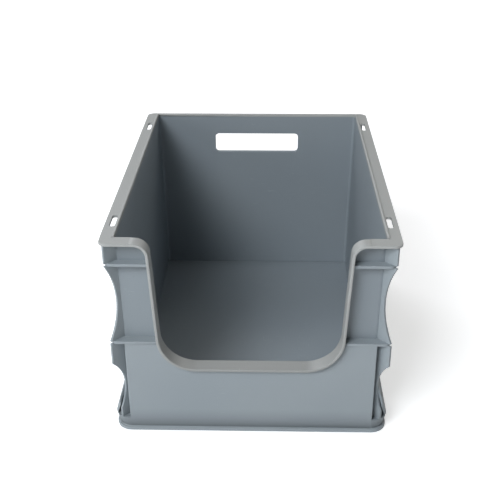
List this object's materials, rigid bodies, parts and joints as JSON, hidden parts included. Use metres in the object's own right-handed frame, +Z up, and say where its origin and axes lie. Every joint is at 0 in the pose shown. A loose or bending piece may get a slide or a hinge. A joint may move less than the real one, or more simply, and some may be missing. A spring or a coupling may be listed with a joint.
{
  "type": "stackable storage bin",
  "caption": "Open-front stacking storage bin in grey polypropylene, with a U-shaped pick opening, flat slotted rim, scalloped ribs and a hand hole in the back.",
  "frame": {"origin": "centre of the bin's footprint, on the surface it stands on", "axes": "+X to the bin's right seen from the pick opening, -Y out through the pick opening, +Z up"},
  "size_m": [0.3, 0.4, 0.235],
  "materials": {
    "grey_polypropylene": "fine satin moulded polypropylene"
  },
  "bodies": {
    "root": {"back_wall": "grey_polypropylene", "bead_left": "grey_polypropylene", "bead_right": "grey_polypropylene", "corner_fin_left": "grey_polypropylene", "corner_fin_right": "grey_polypropylene", "floor_panel": "grey_polypropylene", "foot_ring_back": "grey_polypropylene", "foot_ring_front": "grey_polypropylene", "foot_ring_left": "grey_polypropylene", "foot_ring_right": "grey_polypropylene", "front_apron": "grey_polypropylene", "front_wall": "grey_polypropylene", "hand_hole_edge": "grey_polypropylene", "left_front_column": "grey_polypropylene", "left_wall": "grey_polypropylene", "lower_rib_left": "grey_polypropylene", "lower_rib_right": "grey_polypropylene", "middle_rib_front_left": "grey_polypropylene", "middle_rib_front_right": "grey_polypropylene", "middle_rib_left": "grey_polypropylene", "middle_rib_right": "grey_polypropylene", "opening_lip": "grey_polypropylene", "right_front_column": "grey_polypropylene", "right_wall": "grey_polypropylene", "rim_back": "grey_polypropylene", "rim_front_left": "grey_polypropylene", "rim_front_right": "grey_polypropylene", "rim_left": "grey_polypropylene", "rim_right": "grey_polypropylene", "side_fin_left_1": "grey_polypropylene", "side_fin_left_2": "grey_polypropylene", "side_fin_left_3": "grey_polypropylene", "side_fin_left_4": "grey_polypropylene", "side_fin_right_1": "grey_polypropylene", "side_fin_right_2": "grey_polypropylene", "side_fin_right_3": "grey_polypropylene", "side_fin_right_4": "grey_polypropylene", "skirt_left": "grey_polypropylene", "skirt_right": "grey_polypropylene", "underside_grid": "grey_polypropylene", "upper_rib_front_left": "grey_polypropylene", "upper_rib_front_right": "grey_polypropylene", "upper_rib_left": "grey_polypropylene", "upper_rib_right": "grey_polypropylene"}
  },
  "joints": []
}
